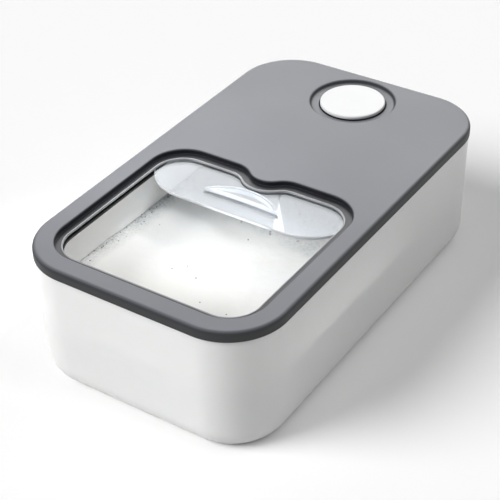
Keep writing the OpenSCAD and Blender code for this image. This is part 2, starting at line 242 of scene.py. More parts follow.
# Moulded plastic: slow changes of tone, a roughness that drifts, and a fine spark-eroded grain
def mouldedPlastic(name, look, values):
    material, shader = newMaterial(name, values)
    tree = material.node_tree
    points = objectPoints(tree)
    tone = noiseNode(tree, points, look["patches"], 3)
    factor = rangeNode(tree, tone.outputs[0], 0.35, 0.65, 0, 1)
    colour = blendColours(tree, factor, look["dark"], look["light"])
    if "paintedSheenTop" in look:  # painted sheen: a paler colour where the moulding faces up, standing in for the top's sheen
        place = addNode(tree, "ShaderNodeTexCoord")
        facing = addNode(tree, "ShaderNodeSeparateXYZ", {0: place.outputs["Normal"]})
        mix = addNode(tree, "ShaderNodeMix", data_type="RGBA")
        tree.links.new(rangeNode(tree, facing.outputs["Z"], *look["facing"], 0, 1), mix.inputs[0])
        tree.links.new(colour, mix.inputs[6])
        mix.inputs[7].default_value = (*look["paintedSheenTop"], 1)
        colour = mix.outputs[2]
    tree.links.new(colour, shader.inputs["Base Color"])
    rough = rangeNode(tree, tone.outputs[0], 0.3, 0.7, look["smooth"], look["rough"])
    tree.links.new(rough, shader.inputs["Roughness"])
    grain = noiseNode(tree, points, look["grain"], 4, 0.6)
    bump = addNode(tree, "ShaderNodeBump", {"Height": grain.outputs[0], "Strength": look["bump"],
                                            "Distance": look["depth"]})
    tree.links.new(bump.outputs[0], shader.inputs["Normal"])
    return material


# Powder: warm white, greyer and mottled where the mesh's own coarse value says so: along the walls, and as a
# painted shadow under the door's front edge
def powderMaterial(name, look, values):
    material, shader = newMaterial(name, {"Roughness": 0.9, "Specular IOR Level": 0.2, **values})
    tree = material.node_tree
    points = objectPoints(tree)
    tone = noiseNode(tree, points, look["patches"], 4, 0.6)
    factor = rangeNode(tree, tone.outputs[0], 0.3, 0.62, 0, 1)
    body = blendColours(tree, factor, look["cream"], look["white"])
    if "hollow" in look:  # painted shade: darker and creamier behind the mound's edge, where its slope falls away from the light
        place = addNode(tree, "ShaderNodeSeparateXYZ", {0: points.outputs[0]})
        lean = addNode(tree, "ShaderNodeMath", {
            0: place.outputs["X"], 1: -look["lean"], 2: place.outputs["Y"]}, operation="MULTIPLY_ADD")
        wander = addNode(tree, "ShaderNodeMath", {0: tone.outputs[0], 1: look["wander"], 2: lean.outputs[0]},
                         operation="MULTIPLY_ADD")
        behind = addNode(tree, "ShaderNodeMix", data_type="RGBA")
        tree.links.new(rangeNode(tree, wander.outputs[0], *look["edge"], 0, 1), behind.inputs[0])
        tree.links.new(body, behind.inputs[6])
        behind.inputs[7].default_value = (*look["hollow"], 1)
        body = behind.outputs[2]
    coarse = addNode(tree, "ShaderNodeAttribute", attribute_name="coarse")
    mottle = noiseNode(tree, points, look["mottles"], 4, 0.65)
    mottled = rangeNode(tree, mottle.outputs[0], 0.40, 0.62, 0.25, 1.0)
    share = addNode(tree, "ShaderNodeMath", {0: coarse.outputs["Fac"], 1: mottled}, operation="MULTIPLY")
    mix = addNode(tree, "ShaderNodeMix", data_type="RGBA")
    tree.links.new(share.outputs[0], mix.inputs[0])
    tree.links.new(body, mix.inputs[6])
    mix.inputs[7].default_value = (*look["greyAndShadow"], 1)
    tree.links.new(mix.outputs[2], shader.inputs["Base Color"])
    grain = noiseNode(tree, points, look["grain"], 6, 0.7)
    lumps = noiseNode(tree, points, look["lumps"], 3, 0.6)
    both = addNode(tree, "ShaderNodeMath", {0: grain.outputs[0], 1: lumps.outputs[0]}, operation="ADD")
    bump = addNode(tree, "ShaderNodeBump", {"Height": both.outputs[0], "Strength": 0.5,
                                            "Distance": look["depth"]})
    tree.links.new(bump.outputs[0], shader.inputs["Normal"])
    return material


# Clear plastic: faint waves and smudges, and lamps shine through it
def clearPlastic(name, look, values):
    material, shader = newMaterial(name, {"IOR": 1.5, **values})
    tree = material.node_tree
    points = objectPoints(tree)
    smudge = noiseNode(tree, points, look["smudges"], 5, 0.6)
    rough = rangeNode(tree, smudge.outputs[0], 0.45, 0.75, look["smooth"], look["rough"])
    tree.links.new(rough, shader.inputs["Roughness"])
    wave = noiseNode(tree, points, look["waves"], 1)
    bump = addNode(tree, "ShaderNodeBump", {"Height": wave.outputs[0], "Strength": 0.2,
                                            "Distance": look["depth"]})
    tree.links.new(bump.outputs[0], shader.inputs["Normal"])
    path = addNode(tree, "ShaderNodeLightPath")
    through = addNode(tree, "ShaderNodeBsdfTransparent", {"Color": look["passed"]})
    mix = addNode(tree, "ShaderNodeMixShader", {0: path.outputs["Is Shadow Ray"], 1: shader.outputs[0],
                                                2: through.outputs[0]})
    tree.links.new(mix.outputs[0], tree.nodes["Material Output"].inputs["Surface"])
    return material


def screwSteel():
    look = {"dark": (0.42, 0.43, 0.45), "light": (0.68, 0.69, 0.70), "streaks": (60, 60, 900)}
    material, shader = newMaterial("zincedSteel", {"Metallic": 1.0})
    tree = material.node_tree
    points = objectPoints(tree, look["streaks"])
    streak = noiseNode(tree, points, 8, 3)
    factor = rangeNode(tree, streak.outputs[0], 0.3, 0.7, 0, 1)
    tree.links.new(blendColours(tree, factor, look["dark"], look["light"]), shader.inputs["Base Color"])
    tree.links.new(rangeNode(tree, streak.outputs[0], 0.3, 0.7, 0.25, 0.45), shader.inputs["Roughness"])
    return material


# the lid's base is near black; its up-facing faces get a paler painted sheen colour
lidPlastic = mouldedPlastic("greyLidPlastic", {
    "dark": (0.021, 0.022, 0.024), "light": (0.026, 0.027, 0.029),
    "patches": 9, "smooth": 0.46, "rough": 0.52,
    "paintedSheenTop": (0.108, 0.113, 0.129), "facing": (0.6, 0.98),
    "grain": 1400, "bump": 0.12, "depth": 0.0002}, {"IOR": 1.42})
# painted shade for the window's stepped wall and ledge, which lie in the wall's shadow
shadedLedgePlastic = mouldedPlastic("paintedShadeLedgePlastic", {
    "dark": (0.012, 0.013, 0.016), "light": (0.017, 0.018, 0.022),
    "patches": 9, "smooth": 0.30, "rough": 0.38,
    "grain": 1400, "bump": 0.10, "depth": 0.0002}, {"Specular IOR Level": 0.20})
binPlastic = mouldedPlastic("whiteBinPlastic", {
    "dark": (0.865, 0.865, 0.855), "light": (0.895, 0.895, 0.887),
    "patches": 7, "smooth": 0.34, "rough": 0.44,
    "grain": 700, "bump": 0.05, "depth": 0.0002},
    {"IOR": 1.49, "Subsurface Weight": 0.8, "Subsurface Radius": (1, 0.97, 0.92), "Subsurface Scale": 0.0038})
trackPlastic = mouldedPlastic("blackTrackPlastic", {
    "dark": (0.006, 0.006, 0.007), "light": (0.011, 0.011, 0.012),
    "patches": 30, "smooth": 0.45, "rough": 0.6,
    "grain": 1200, "bump": 0.1, "depth": 0.0002}, {})
buttonPlastic = mouldedPlastic("whiteButtonPlastic", {
    "dark": (0.67, 0.675, 0.68), "light": (0.70, 0.703, 0.708),
    "patches": 20, "smooth": 0.28, "rough": 0.36,
    "grain": 900, "bump": 0.04, "depth": 0.0002}, {"Specular IOR Level": 0.3})
sealSilicone = mouldedPlastic("paleSilicone", {
    "dark": (0.25, 0.255, 0.265), "light": (0.32, 0.325, 0.335),
    "patches": 60, "smooth": 0.30, "rough": 0.42,
    "grain": 800, "bump": 0.06, "depth": 0.0002}, {})
blackRubber = mouldedPlastic("blackRubber", {
    "dark": (0.008, 0.008, 0.008), "light": (0.016, 0.016, 0.016),
    "patches": 80, "smooth": 0.55, "rough": 0.7,
    "grain": 1600, "bump": 0.15, "depth": 0.0002}, {})
soft = {"Subsurface Weight": 1.0, "Subsurface Radius": (1, 1, 0.95), "Subsurface Scale": 0.010}
# the hollow colour is painted shade behind the mound's edge
powder = powderMaterial("laundryPowder", {
    "cream": (0.84, 0.83, 0.80), "white": (0.86, 0.855, 0.835), "greyAndShadow": (0.52, 0.545, 0.53),
    "hollow": (0.83, 0.815, 0.78), "lean": 0.15, "wander": 0.03, "edge": (-0.030, -0.014), "patches": 20,
    "mottles": 480, "grain": 900, "lumps": 260, "depth": 0.0005}, soft)
powderGrain = powderMaterial("powderGrain", {
    "cream": (0.72, 0.73, 0.73), "white": (0.92, 0.92, 0.91), "greyAndShadow": (0.6, 0.6, 0.6), "patches": 700,
    "mottles": 480, "grain": 2000, "lumps": 900, "depth": 0.0002}, {})
speckGrain = powderMaterial("speckGrain", {
    "cream": (0.015, 0.018, 0.022), "white": (0.12, 0.14, 0.16), "greyAndShadow": (0.02, 0.02, 0.02),
    "patches": 300, "mottles": 480, "grain": 2000, "lumps": 900, "depth": 0.0002}, {})
clear = clearPlastic("clearStyrene", {
    "smooth": 0.01, "rough": 0.04, "smudges": 24, "waves": 30, "depth": 0.00005,
    "passed": (0.80, 0.81, 0.82, 1)},
    {"Base Color": (0.55, 0.60, 0.66, 1), "Transmission Weight": 0.98})
# painted highlight: a paler, half-clear finish for the door's side faces, so its edges read as a bright line
edgeHighlightPlastic = clearPlastic("paintedHighlightStyrene", {
    "smooth": 0.30, "rough": 0.40, "smudges": 90, "waves": 200, "depth": 0.00005,
    "passed": (0.7, 0.71, 0.72, 1)},
    {"Base Color": (0.86, 0.875, 0.90, 1), "Transmission Weight": 0.45})
steel = screwSteel()
print("materials ready")


# Main sizes, read from the frame
lidLow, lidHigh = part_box("lid_cover")
width, length, top = lidHigh.x - lidLow.x, lidHigh.y - lidLow.y, lidHigh.z
cornerRadius = 0.0445
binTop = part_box("bin")[1].z
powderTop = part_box("powder_fill")[1].z
doorLow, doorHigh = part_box("sliding_door")
capLow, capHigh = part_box("button_cap")
capMiddle = (0.0, (capLow.y + capHigh.y) / 2)
capRadius = (capHigh.x - capLow.x) / 2


# Outline of the lid, set in
def lidOutline(inset):
    return rectOutline(width - 2 * inset, length - 2 * inset, cornerRadius - inset)


window = {"side": 0.0155, "front": 0.016, "length": 0.160, "radius": 0.028, "tabDepth": 0.0103,
          "tabHalf": 0.0262, "tipRadius": 0.0174, "ledgeRear": 0.002}
window["middle"] = -length / 2 + window["front"] + window["length"] / 2


# The window's outline, grown, with its rear edge moved. Without the tab the rear edge is straight
def windowOutline(grow, rear=0.0, tab=True):
    w = window
    halfWidth = width / 2 - w["side"]
    front = -length / 2 + w["front"]
    base = front + w["length"] + rear
    half, depth, tip = w["tabHalf"], w["tabDepth"], w["tipRadius"]
    reach = (half * half / depth + depth) / 2
    side = reach - tip
    turn = math.degrees(math.atan2(half, reach - depth))
    radius = w["radius"]
    rear = base - radius
    points = arc((halfWidth - radius, rear), radius + grow, 0, 90, 18)
    bend = arc((half, base - side), side + grow, 90, 90 + turn, 14)
    bend += arc((0, base - depth + tip), tip - grow, 270 + turn, 270 - turn, 20)
    bend += arc((-half, base - side), side + grow, 90 - turn, 90, 14)
    if not tab:
        bend = [(x, base + grow) for x, _ in bend]
    points += bend
    points += arc((radius - halfWidth, rear), radius + grow, 90, 180, 18)
    points += arc((radius - halfWidth, front + radius), radius + grow, 180, 270, 18)
    points += arc((halfWidth - radius, front + radius), radius + grow, 270, 360, 18)
    return points


# Lid: one shell with the skirt, the window's stepped wall, the finger dish and its collar
def makeLid():
    lid = {"topRound": 0.003, "skirt": 0.008, "skirtWall": 0.002, "plate": 0.0025, "smallRound": 0.0004,
           "ribInset": 0.00415, "ribWall": 0.0014, "ribDepth": 0.0029, "edgeRound": 0.0013,
           "support": 0.0003, "ledgeDrop": 0.004, "ledge": 0.0012, "ledgeWidth": 0.0043, "windowWall": 0.002,
           "bossRadius": 0.0028, "screwRadius": 0.00115, "runner": 0.002, "runnerSet": 0.083,
           "deepSet": 0.0150, "deepMargin": 0.001, "deepUnder": 0.002, "deepShare": 0.7, "dishEdge": 0.0362,
           "holeRoof": 0.0006}
    under = top - lid["plate"]
    bottom = top - lid["skirt"]
    small, support = lid["smallRound"], lid["support"]
    bm = bmesh.new()
    # outer section, as (inset, height), from the top face over the rim to the underside
    section = [(lid["topRound"] + support, top)]
    section += [(lid["topRound"] * (1 - math.sin(t)), top - lid["topRound"] * (1 - math.cos(t)))
                for t in np.linspace(0, math.pi / 2, 11)]
    section += [(0, bottom + small), (small * 0.3, bottom + small * 0.3), (small, bottom)]
    wall = lid["skirtWall"]
    section += [(wall - small, bottom), (wall, bottom + small), (wall, under - small), (wall + small, under)]
    rib, ribWall, ribEnd = lid["ribInset"], lid["ribWall"], under - lid["ribDepth"]
    section += [(rib, under), (rib, ribEnd + small), (rib + small, ribEnd), (rib + ribWall - small, ribEnd),
                (rib + ribWall, ribEnd + small), (rib + ribWall, under)]
    outerTop, outerUnder = loft(bm, [(lidOutline(i), z) for i, z in section])
    # window section, as (growth, height, rear edge's move), from the top face to the underside
    ledge = top - lid["ledgeDrop"]
    edge = lid["edgeRound"]
    steps = [(edge + support, top, 0, True)]
    steps += [(edge * (1 - math.sin(t)), top - edge * (1 - math.cos(t)), 0, True)
              for t in np.linspace(0, math.pi / 2, 9)]
    steps += [(0, ledge + small, 0, True), (-small, ledge, 0, True)]
    inner, rear = -lid["ledgeWidth"], -window["ledgeRear"]
    steps += [(inner, ledge, rear, True), (inner, ledge - lid["ledge"], rear, True),
              (lid["windowWall"], ledge - lid["ledge"], 0, False), (lid["windowWall"], under, 0, False)]
    windowTop, windowUnder = loft(bm, [(windowOutline(g, r, tab), z) for g, z, r, tab in steps])
    dishTop, dishUnder = makeDish(bm, under, lid)
    fillFlat(bm, outerTop, windowTop, dishTop)
    fillFlat(bm, outerUnder, windowUnder, dishUnder)
    addBosses(bm, ledge - lid["ledge"], under, lid)
    piece = finishMesh(bm, "lidCover", lidPlastic)
    piece.data.materials.append(shadedLedgePlastic)
    for face in piece.data.polygons:  # painted shade: the stepped wall round the window is darker and less glossy
        x, y, z = face.center
        reach = window["length"] / 2 + lid["deepMargin"]
        inWindow = abs(x) < width / 2 - lid["deepSet"] and abs(y - window["middle"]) < reach
        inDish = math.hypot(x, y - capMiddle[1]) < lid["dishEdge"]
        if inWindow and not inDish and under - lid["deepUnder"] < z < top - edge * lid["deepShare"]:
            face.material_index = 1
    return settle(piece, "lid", "lid_plastic", "lid_cover")


def makeDish(bm, under, lid):
    dish = {"radius": 0.0355, "floorRadius": 0.0315, "depth": 0.003, "wall": 0.0017, "gap": 0.0006,
            "collar": 0.0018, "skirtRadius": 0.0358, "bossRing": 0.0244, "bossHeight": 0.0034}
    small = lid["smallRound"]
    floor = top - dish["depth"]
    run = dish["radius"] - dish["floorRadius"]
    bend = (run * run / dish["depth"] + dish["depth"]) / 4
    sweep = math.degrees(math.asin(run / 2 / bend))
    hole = capRadius + dish["gap"]
    collar = hole + dish["collar"]
    collarEnd = lidLow.z
    section = [(dish["radius"] + lid["support"], top)]
    section += arc((dish["radius"], top - bend), bend, 90, 90 + sweep, 8)
    section += arc((dish["floorRadius"], floor + bend), bend, sweep - 90, -90, 8)[1:]
    section += [(hole + small, floor), (hole, floor - small), (hole, collarEnd + small),
                (hole + small, collarEnd), (collar - small, collarEnd), (collar, collarEnd + small),
                (collar, floor - dish["wall"] - small), (collar + small, floor - dish["wall"]),
                (dish["skirtRadius"], floor - dish["wall"]), (dish["skirtRadius"], under)]
    for i in range(3):  # bosses for the base plate's screws
        turn = math.radians(90 + 120 * i)
        place = (dish["bossRing"] * math.cos(turn), capMiddle[1] + dish["bossRing"] * math.sin(turn))
        addBoss(bm, place, collarEnd, collarEnd + dish["bossHeight"], lid)
    return loft(bm, [(circleOutline(capMiddle, r), z) for r, z in section])


def addBoss(bm, place, low, high, lid):  # a round post with a blind screw hole from below
    outer, hole, small = lid["bossRadius"], lid["screwRadius"], lid["smallRound"] / 2
    section = [(outer, high), (outer, low + small), (outer - small, low), (hole, low)]
    section.append((hole, high - lid["holeRoof"]))
    first, last = loft(bm, [(circleOutline(place, r, 24), z) for r, z in section])
    bm.faces.new(first)
    bm.faces.new(last)


def addBosses(bm, low, under, lid):
    high = under + lid["plate"] / 3
    for place in screwPlaces():
        addBoss(bm, place, low, high, lid)
    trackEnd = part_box("door_track")[1].y
    front = -length / 2 + window["front"] + window["length"]
    for side in (-1, 1):  # runners that hold the door down behind the window
        x0, x1 = side * lid["runnerSet"] - lid["runner"] / 2, side * lid["runnerSet"] + lid["runner"] / 2
        corners = [(x1, trackEnd), (x0, trackEnd), (x0, front), (x1, front)]
        first, last = loft(bm, [(corners, high), (corners, low)])
        bm.faces.new(first)
        bm.faces.new(last)


screwReach = 0.008  # no two screws stand closer than this


def screwPlaces(nodeName="track_screws"):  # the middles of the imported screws
    points = np.array([v.co[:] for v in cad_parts[nodeName].data.vertices])
    places = []
    for x, y, _ in points:
        near = [p for p in places if math.hypot(p[0][0] - x, p[0][1] - y) < screwReach]
        if near:
            near[0].append((x, y))
        else:
            places.append([(x, y)])
    middles = []
    for group in places:
        xs, ys = [p[0] for p in group], [p[1] for p in group]
        middles.append(((min(xs) + max(xs)) / 2, (min(ys) + max(ys)) / 2))
    return middles


lidPiece = makeLid()
print("lid made:", len(lidPiece.data.polygons), "faces")


# Bin: its wall section follows the lid's outline round, by Geometry Nodes
def binSection():
    b = {"topSet": 0.0008, "lowSet": 0.0017, "tuckRadius": 0.020, "tuckHeight": 0.0157, "wall": 0.0026,
         "floor": 0.0024, "rimSet": 0.0023, "rimWall": 0.0015, "shoulder": 0.0956, "small": 0.0003,
         "foot": 0.0007, "flat": 0.030}
    small = b["small"]
    axis = b["lowSet"] + b["tuckRadius"]
    end = math.asin((b["tuckHeight"] - b["foot"] / 2) / b["tuckRadius"])
    tuck = [(axis - b["tuckRadius"] * math.cos(t), b["tuckHeight"] - b["tuckRadius"] * math.sin(t))
            for t in np.linspace(end, 0, 15)]
    inner = b["tuckRadius"] - b["wall"]
    innerEnd = math.asin((b["tuckHeight"] - b["floor"] - b["foot"]) / inner)
    innerTuck = [(axis - inner * math.cos(t), b["tuckHeight"] - inner * math.sin(t))
                 for t in np.linspace(0, innerEnd, 13)]
    footIn = tuck[0][0]
    section = [(b["flat"], 0), (footIn + b["foot"] * 1.4, 0), (footIn + b["foot"] * 0.5, b["foot"] * 0.12)]
    section += tuck
    section += [(b["topSet"], b["shoulder"] - small), (b["topSet"] + small, b["shoulder"]),
                (b["rimSet"], b["shoulder"]), (b["rimSet"], binTop - small), (b["rimSet"] + small, binTop)]
    rimIn = b["rimSet"] + b["rimWall"]
    section += [(rimIn - small, binTop), (rimIn, binTop - small), (rimIn, b["shoulder"]),
                (b["topSet"] + b["wall"], b["shoulder"] - 2 * small)]
    section += innerTuck
    section += [(innerTuck[-1][0] + b["foot"] * 2, b["floor"]), (b["flat"], b["floor"])]
    return section


def sweepTree():
    tree, give, out = newTree("follow rounded rectangle", [
        ("Width", "NodeSocketFloat"), ("Length", "NodeSocketFloat"), ("Corner Radius", "NodeSocketFloat"),
        ("Corner Steps", "NodeSocketInt"), ("Section", "NodeSocketObject"),
        ("Material", "NodeSocketMaterial")])
    box = addNode(tree, "GeometryNodeCurvePrimitiveQuadrilateral",
                  {"Width": give.outputs["Width"], "Height": give.outputs["Length"]})
    path = addNode(tree, "GeometryNodeFilletCurve", {
        "Curve": box.outputs[0], "Count": give.outputs["Corner Steps"],
        "Radius": give.outputs["Corner Radius"]}, mode="POLY")
    section = addNode(tree, "GeometryNodeObjectInfo", {"Object": give.outputs["Section"]})
    swept = addNode(tree, "GeometryNodeCurveToMesh", {"Curve": path.outputs[0],
                                                      "Profile Curve": section.outputs["Geometry"]})
    endTree(tree, swept.outputs[0], give.outputs["Material"], out)
    return tree


def sectionCurve(name, points):  # x runs outwards and y runs along the sweep's second axis
    curve = bpy.data.curves.new(name, "CURVE")
    curve.dimensions = "3D"
    spline = curve.splines.new("POLY")
    spline.points.add(len(points) - 1)
    for target, (inset, z) in zip(spline.points, points):
        target.co = (-inset, -z, 0, 1)
    return helperObject(name, curve)


def makeBin():
    section = sectionCurve("binSection", binSection())
    base = helperObject("binBase", bpy.data.meshes.new("binBase"))
    mesh = runTree(base, sweepTree(), {"Width": width, "Length": length, "Corner Radius": cornerRadius,
                                       "Corner Steps": 24, "Section": section, "Material": binPlastic})
    dropObject(section, base)
    bm = bmesh.new()
    bm.from_mesh(mesh)
    rims = [e for e in bm.edges if len(e.link_faces) == 1]
    bmesh.ops.holes_fill(bm, edges=rims, sides=0)
    print("bin heights", min(v.co.z for v in bm.verts), max(v.co.z for v in bm.verts))
    return settle(finishMesh(bm, "powderBin", binPlastic, 30), "bin", "bin_plastic", "bin")


binPiece = makeBin()
print("bin made:", len(binPiece.data.polygons), "faces")


# Sliding door: a clear plate with a notch for the button's collar and a hollow raised grip
door = {"front": 0.039, "rear": 0.006, "notch": 0.0296, "edge": 0.0007, "plate": 0.0025, "support": 0.0002,
        "gripWidth": 0.064, "gripDepth": 0.014, "gripFront": 0.0155, "gripWall": 0.0018, "hollow": 0.0012,
        "gripEdge": 0.0004}


def doorOutline(inset):
    d = door
    x, y0, y1 = doorHigh.x, doorLow.y, doorHigh.y
    front, rear, notch = d["front"], d["rear"], d["notch"] + inset
    lift = y1 - inset - capMiddle[1]
    turn = math.degrees(math.asin(-lift / notch))
    points = arc((x - rear, y1 - rear), rear - inset, 0, 90, 8)
    points += arc(capMiddle, notch, -turn, turn - 180, 32)
    points += arc((rear - x, y1 - rear), rear - inset, 90, 180, 8)
    points += arc((front - x, y0 + front), front - inset, 180, 270, 28)
    points += arc((x - front, y0 + front), front - inset, 270, 360, 28)
    return points


def gripOutline(inset):  # a lens with a shallow hollow front and one long arc behind
    d = door
    y = doorLow.y + d["gripFront"]
    half, depth = d["gripWidth"] / 2, d["gripDepth"]
    radius = (half * half + depth * depth) / (2 * depth)
    spread = math.sqrt((radius - inset) ** 2 - (radius - depth + inset) ** 2)
    turn = math.degrees(math.asin(spread / (radius - inset)))
    points = arc((0, y + depth - radius), radius - inset, 90 - turn, 90 + turn, 40)
    bow = d["hollow"]
    for t in np.linspace(-1, 1, 21)[1:-1]:
        points.append((t * spread, y + inset + bow * (1 - t * t)))
    return points


def makeDoor():
    d = door
    low, high, crown = doorLow.z, doorLow.z + d["plate"], doorHigh.z
    edge, gripEdge, support = d["edge"], d["gripEdge"], d["support"]
    bm = bmesh.new()
    rim = [(edge + support, low)] + rounded(0, low, edge, False)
    rim += rounded(0, high, edge)[::-1] + [(edge + support, high)]
    under, over = loft(bm, [(doorOutline(i), z) for i, z in rim])
    grip = [(0, high)] + rounded(0, crown, gripEdge)[::-1] + [(gripEdge + support, crown)]
    foot, peak = loft(bm, [(gripOutline(i), z) for i, z in grip])
    wall = d["gripWall"]
    pocket = [(wall, low), (wall, crown - wall - gripEdge), (wall + gripEdge, crown - wall)]
    mouth, roof = loft(bm, [(gripOutline(i), z) for i, z in pocket])
    fillFlat(bm, over, foot)
    fillFlat(bm, peak)
    fillFlat(bm, under, mouth)
    fillFlat(bm, roof)
    piece = finishMesh(bm, "slidingDoor", clear, 50)
    piece.data.materials.append(edgeHighlightPlastic)
    # the side faces take the painted highlight finish
    for face in piece.data.polygons:
        face.material_index = 1 if abs(face.normal.z) < 0.9 else 0
    return settle(piece, "door", "clear_plastic", "sliding_door")


makeDoor()
print("door made")


# Window seal: the soft half-round bead on the ledge's edge
def makeWindowSeal():
    low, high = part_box("window_seal")
    bead = {"outer": -0.0043, "inner": -0.0055, "crown": 0.0004, "rear": -window["ledgeRear"]}
    middle, half = (bead["outer"] + bead["inner"]) / 2, (bead["outer"] - bead["inner"]) / 2
    section = [(bead["outer"], low.z)]
    section += [(middle + half * math.cos(t), high.z + bead["crown"] * math.sin(t))
                for t in np.linspace(0, math.pi, 9)]
    section += [(bead["inner"], low.z)]
    bm = bmesh.new()
    first, last = loft(bm, [(windowOutline(g, bead["rear"]), z) for g, z in section])
    bridge(bm, last, first)
    return settle(finishMesh(bm, "windowSeal", sealSilicone), "lid", "pale_silicone", "window_seal")


makeWindowSeal()


# Button: cap and its dark seal ring
def makeButton():
    b = {"round": 0.0012, "small": 0.0003, "sealSet": 0.0003, "sealWidth": 0.0026, "hollow": 0.00025}
    under = capLow.z
    bm = bmesh.new()
    section = [(capRadius - b["round"] * (1 - math.sin(t)), top - b["round"] * (1 - math.cos(t)))
               for t in np.linspace(0, math.pi / 2, 9)]
    section.insert(0, (capRadius - b["round"] - b["small"], top))
    section += [(capRadius, under + b["small"]), (capRadius - b["small"], under)]
    first, last = loft(bm, [(circleOutline(capMiddle, r), z) for r, z in section])
    bm.faces.new(first)
    bm.faces.new(last)
    settle(finishMesh(bm, "buttonCap", buttonPlastic), "button", "button_plastic", "button_cap")
    low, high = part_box("button_seal")
    outer = capRadius - b["sealSet"]
    inner = outer - b["sealWidth"]
    small = b["small"]
    section = [(inner, high.z), (outer - small, high.z), (outer, high.z - small), (outer, low.z + small),
               (outer - small, low.z), (inner + small, low.z), (inner, low.z + small)]
    bm = bmesh.new()
    first, last = loft(bm, [(circleOutline(capMiddle, r), z) for r, z in section])
    bridge(bm, last, first)
    settle(finishMesh(bm, "buttonSeal", blackRubber), "button", "dark_rubber", "button_seal")


makeButton()
print("button made")


# Powder: a drifted top with a soft mound in front, coarser greyer grains round the walls, and a painted
# shadow under the door's front edge
powderSizes = {"wallSet": 0.00416, "step": 0.00125, "dune": 0.0010, "mound": 0.0022, "moundPlace": -0.040,
               "moundLean": 0.15, "moundSoft": 0.0045, "ripple": 0.00030, "coarseBand": 0.016,
               "wallWander": 0.004, "frontShare": 0.6, "frontEnd": 0.16, "frontFade": 0.09, "wallGain": 1.25,
               "backPlace": -0.004, "backWander": 0.006, "backFade": 0.014, "backMost": 0.6,
               "speckShare": 0.014, "grainShare": 0.004, "topDepth": 0.01, "seed": 4, "specks": 50000,
               "speckSize": 0.00058, "grains": 120000, "grainSize": 0.00042}

# The powder's sides below its top, as (inset, height)
powderSides = [(0.0003, 0.04), (0.0005, 0.0157), (0.0024, 0.0075), (0.0075, 0.0030), (0.020, 0.0028)]


def powderHeight(x, y):
    p = powderSizes
    slow = noise.noise(Vector((x * 14 + 3.1, y * 11 + 1.7, 0.3)))
    fast = noise.fractal(Vector((x * 90, y * 90, 2.0)), 1.0, 2.0, 3)
    mound = 1 / (1 + math.exp((y - p["moundPlace"] - p["moundLean"] * x + 0.006 * slow) / p["moundSoft"]))
    return powderTop + p["dune"] * (slow - 0.5) + p["mound"] * (mound - 0.55) + p["ripple"] * fast


def coarseAndShadowAt(x, y, fromWall):  # 1 at the walls, where the grains are coarse and greyer; under the door's front edge it rises to backMost as painted shadow
    p = powderSizes
    wander = noise.fractal(Vector((x * 60, y * 60, 7.0)), 1.0, 2.0, 3)
    wall = 1 - (fromWall + p["wallWander"] * wander) / p["coarseBand"]
    wall *= min(1, max(p["frontShare"], (y + p["frontEnd"]) / p["frontFade"]))
    # painted shadow of the door's front edge on the powder
    back = (y - p["backPlace"] + p["moundLean"] * x + p["backWander"] * wander) / p["backFade"]
    return min(1, max(0, wall * p["wallGain"], min(back, p["backMost"])))


def makePowder():
    p = powderSizes
    inset = p["wallSet"]
    radius = cornerRadius - inset
    axisX, axisY = width / 2 - cornerRadius, length / 2 - cornerRadius
    halfLength = axisY + radius
    rows = int(2 * halfLength / p["step"])
    columns = int(2 * (axisX + radius) / p["step"])
    bm = bmesh.new()
    coarse = bm.verts.layers.float.new("coarse")
    grid = []
    for i in range(rows + 1):
        y = -halfLength + 2 * halfLength * i / rows
        past = max(0.0, abs(y) - axisY)
        half = axisX + math.sqrt(max(0.0, radius * radius - past * past))
        grid.append([])
        for x in np.linspace(-half, half, columns + 1):
            vert = bm.verts.new((x, y, powderHeight(x, y)))
            corner = math.hypot(max(0, abs(x) - axisX), past)
            fromWall = min(radius - corner, axisX + radius - abs(x), halfLength - abs(y))
            vert[coarse] = coarseAndShadowAt(x, y, fromWall)
            grid[-1].append(vert)
    for a, b in zip(grid, grid[1:]):
        for j in range(columns):
            bm.faces.new((a[j], a[j + 1], b[j + 1], b[j]))
    border = grid[0] + [r[-1] for r in grid[1:]] + grid[-1][-2::-1] + [r[0] for r in grid[-2:0:-1]]
    previous = border
    for depth, z in powderSides:
        current = []
        for v in border:
            x, y = v.co.x, v.co.y
            cx, cy = min(max(x, -axisX), axisX), min(max(y, -axisY), axisY)
            out = Vector((x - cx, y - cy, 0))
            out.normalize()
            current.append(bm.verts.new((x - out.x * depth, y - out.y * depth, z)))
        bridge(bm, previous, current)
        previous = current
    bm.faces.new(previous)
    return settle(finishMesh(bm, "powderFill", powder, 80), "bin", "powder", "powder_fill")


